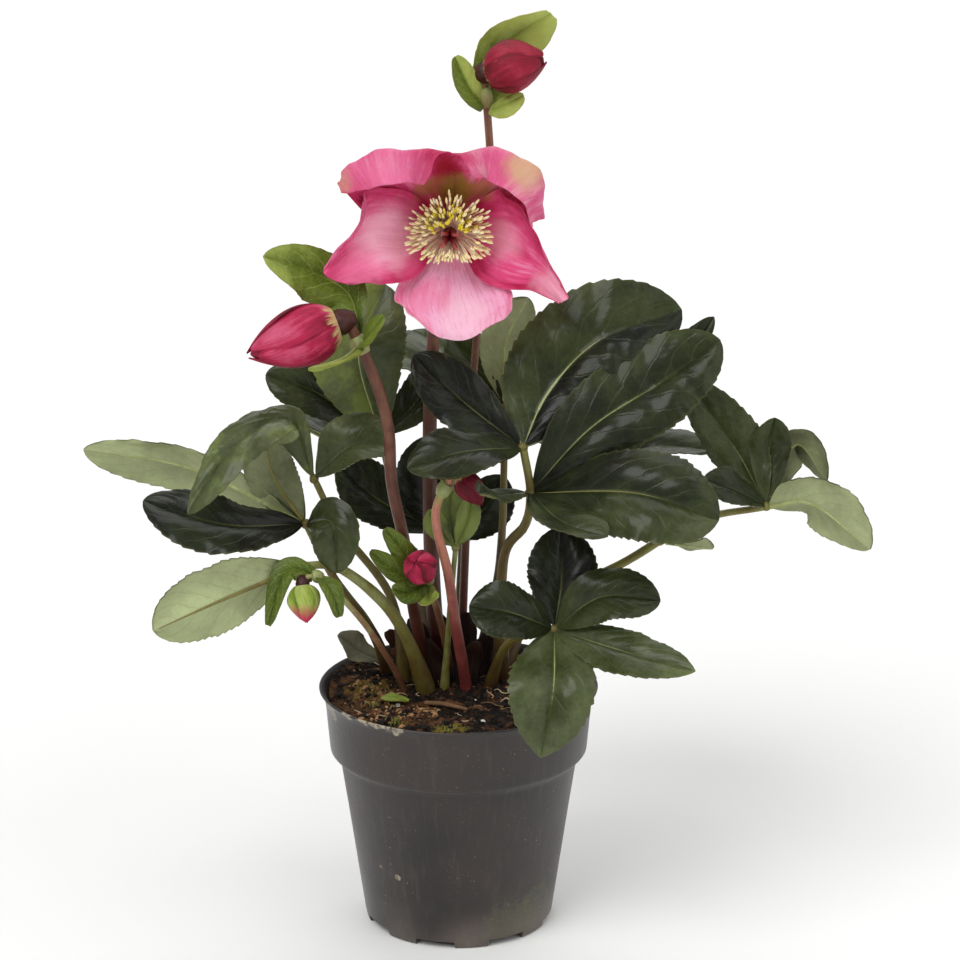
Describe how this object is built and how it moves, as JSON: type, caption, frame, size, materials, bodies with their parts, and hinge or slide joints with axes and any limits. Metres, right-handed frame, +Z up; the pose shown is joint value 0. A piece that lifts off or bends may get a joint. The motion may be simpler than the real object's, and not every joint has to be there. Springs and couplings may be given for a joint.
{
  "type": "potted plant",
  "caption": "Potted hellebore: a round nursery pot of soil with lobed leathery leaves, one open flower, closed buds and their bracts on upright stems.",
  "frame": {"origin": "centre of the pot's base, on the surface that the pot stands on", "axes": "+Z up, along the pot's axis; the open flower faces -Y; +X is to the right as seen from the front"},
  "size_m": [0.3294, 0.2068, 0.392],
  "materials": {
    "pot_plastic": "satin, with pale marks",
    "soil": "crumbly",
    "leaf_dark": "waxy gloss above, matte below",
    "leaf_green": "waxy gloss above, matte below",
    "leaf_pale": "matte underside",
    "leaf_young": "soft gloss",
    "leaf_withered": "dry",
    "stem": "smooth, reddish",
    "bract": "soft gloss",
    "sepal": "silky, veined",
    "bud_pink": "silky",
    "bud_red": "silky",
    "stamen": "powdery",
    "nectary": "soft gloss",
    "carpel": "smooth",
    "twig": "dry"
  },
  "bodies": {
    "root": {"pot": "pot_plastic", "soil": "soil", "leaf_right_low": "leaf_dark", "leaf_right_high": "leaf_dark", "leaf_far_right": "leaf_dark", "leaf_left": "leaf_dark", "leaf_back_left": "leaf_dark", "leaf_back_right": "leaf_dark", "leaf_back_low": "leaf_dark", "leaf_cupped": "leaf_green", "leaf_behind_bud": "leaf_green", "leaf_behind_bloom": "leaf_green", "leaf_back_middle": "leaf_green", "leaf_left_low": "leaf_pale", "leaf_young": "leaf_young", "bloom_stem": "stem", "bloom_sepals": "sepal", "bloom_nectaries": "nectary", "bloom_stamens": "stamen", "bloom_carpels": "carpel", "bud_left_stem": "stem", "bud_left_sepals": "bud_pink", "bud_left_bracts": "bract", "bud_top_stem": "stem", "bud_top_sepals": "bud_red", "bud_top_bracts": "bract", "bud_middle_stem": "stem", "bud_middle_sepals": "bud_pink", "bud_middle_bracts": "bract", "bud_hidden_stem": "stem", "bud_hidden_sepals": "bud_red", "bud_hidden_bracts": "bract", "bud_small_stem": "stem", "bud_small_sepals": "bud_pink", "bud_small_bracts": "bract", "withered_leaf": "leaf_withered", "fallen_bract": "bract", "twig": "twig"}
  },
  "joints": []
}
